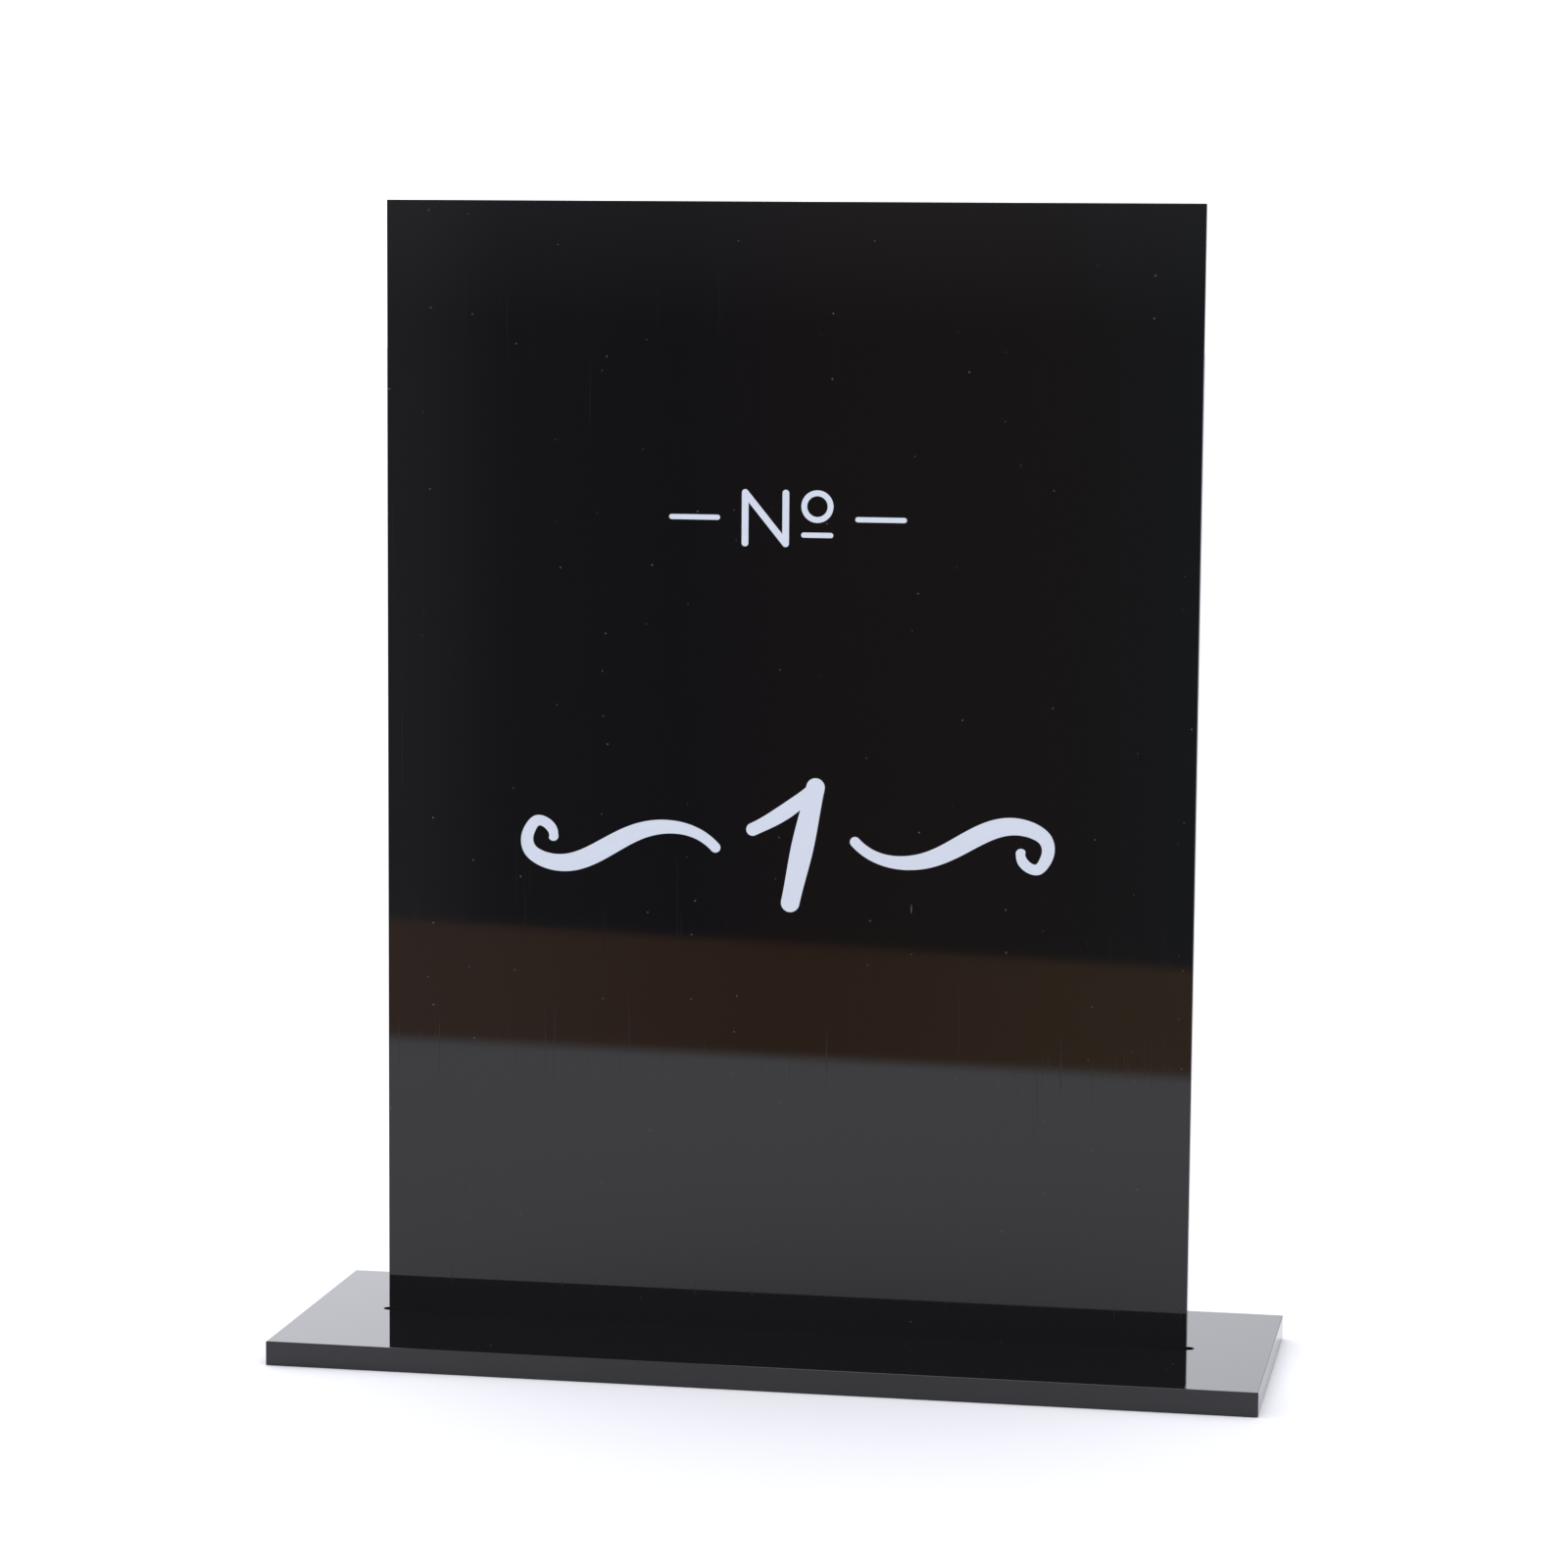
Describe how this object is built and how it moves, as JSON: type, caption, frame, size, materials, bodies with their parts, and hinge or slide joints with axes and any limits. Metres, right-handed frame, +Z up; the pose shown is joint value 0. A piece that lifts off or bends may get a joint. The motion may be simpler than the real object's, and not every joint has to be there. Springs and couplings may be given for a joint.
{
  "type": "table number holder",
  "caption": "Upright glossy black acrylic panel with a white number sign, standing in the slot of a flat rectangular acrylic base; the panel lifts out.",
  "frame": {"origin": "middle of the base's underside, on the surface that the holder stands on", "axes": "+Z up along the panel, +X along the base to the reader's right, lettered front faces -Y"},
  "size_m": [0.153, 0.051, 0.1792],
  "materials": {
    "base_acrylic": "polished cast sheet",
    "panel_acrylic": "polished cast sheet",
    "white_film": "satin cut vinyl"
  },
  "bodies": {
    "base": {"base_plate": "base_acrylic"},
    "sign": {"sign_panel": "panel_acrylic", "letter_n": "white_film", "letter_o": "white_film", "numero_bar": "white_film", "rule_left": "white_film", "rule_right": "white_film", "numeral_one": "white_film", "swash_left": "white_film", "swash_right": "white_film"}
  },
  "joints": [
    {"name": "sign_lift", "type": "slide", "parent": "base", "child": "sign", "axis": [0, 0, 1], "range_m": [0, 0.03]}
  ]
}
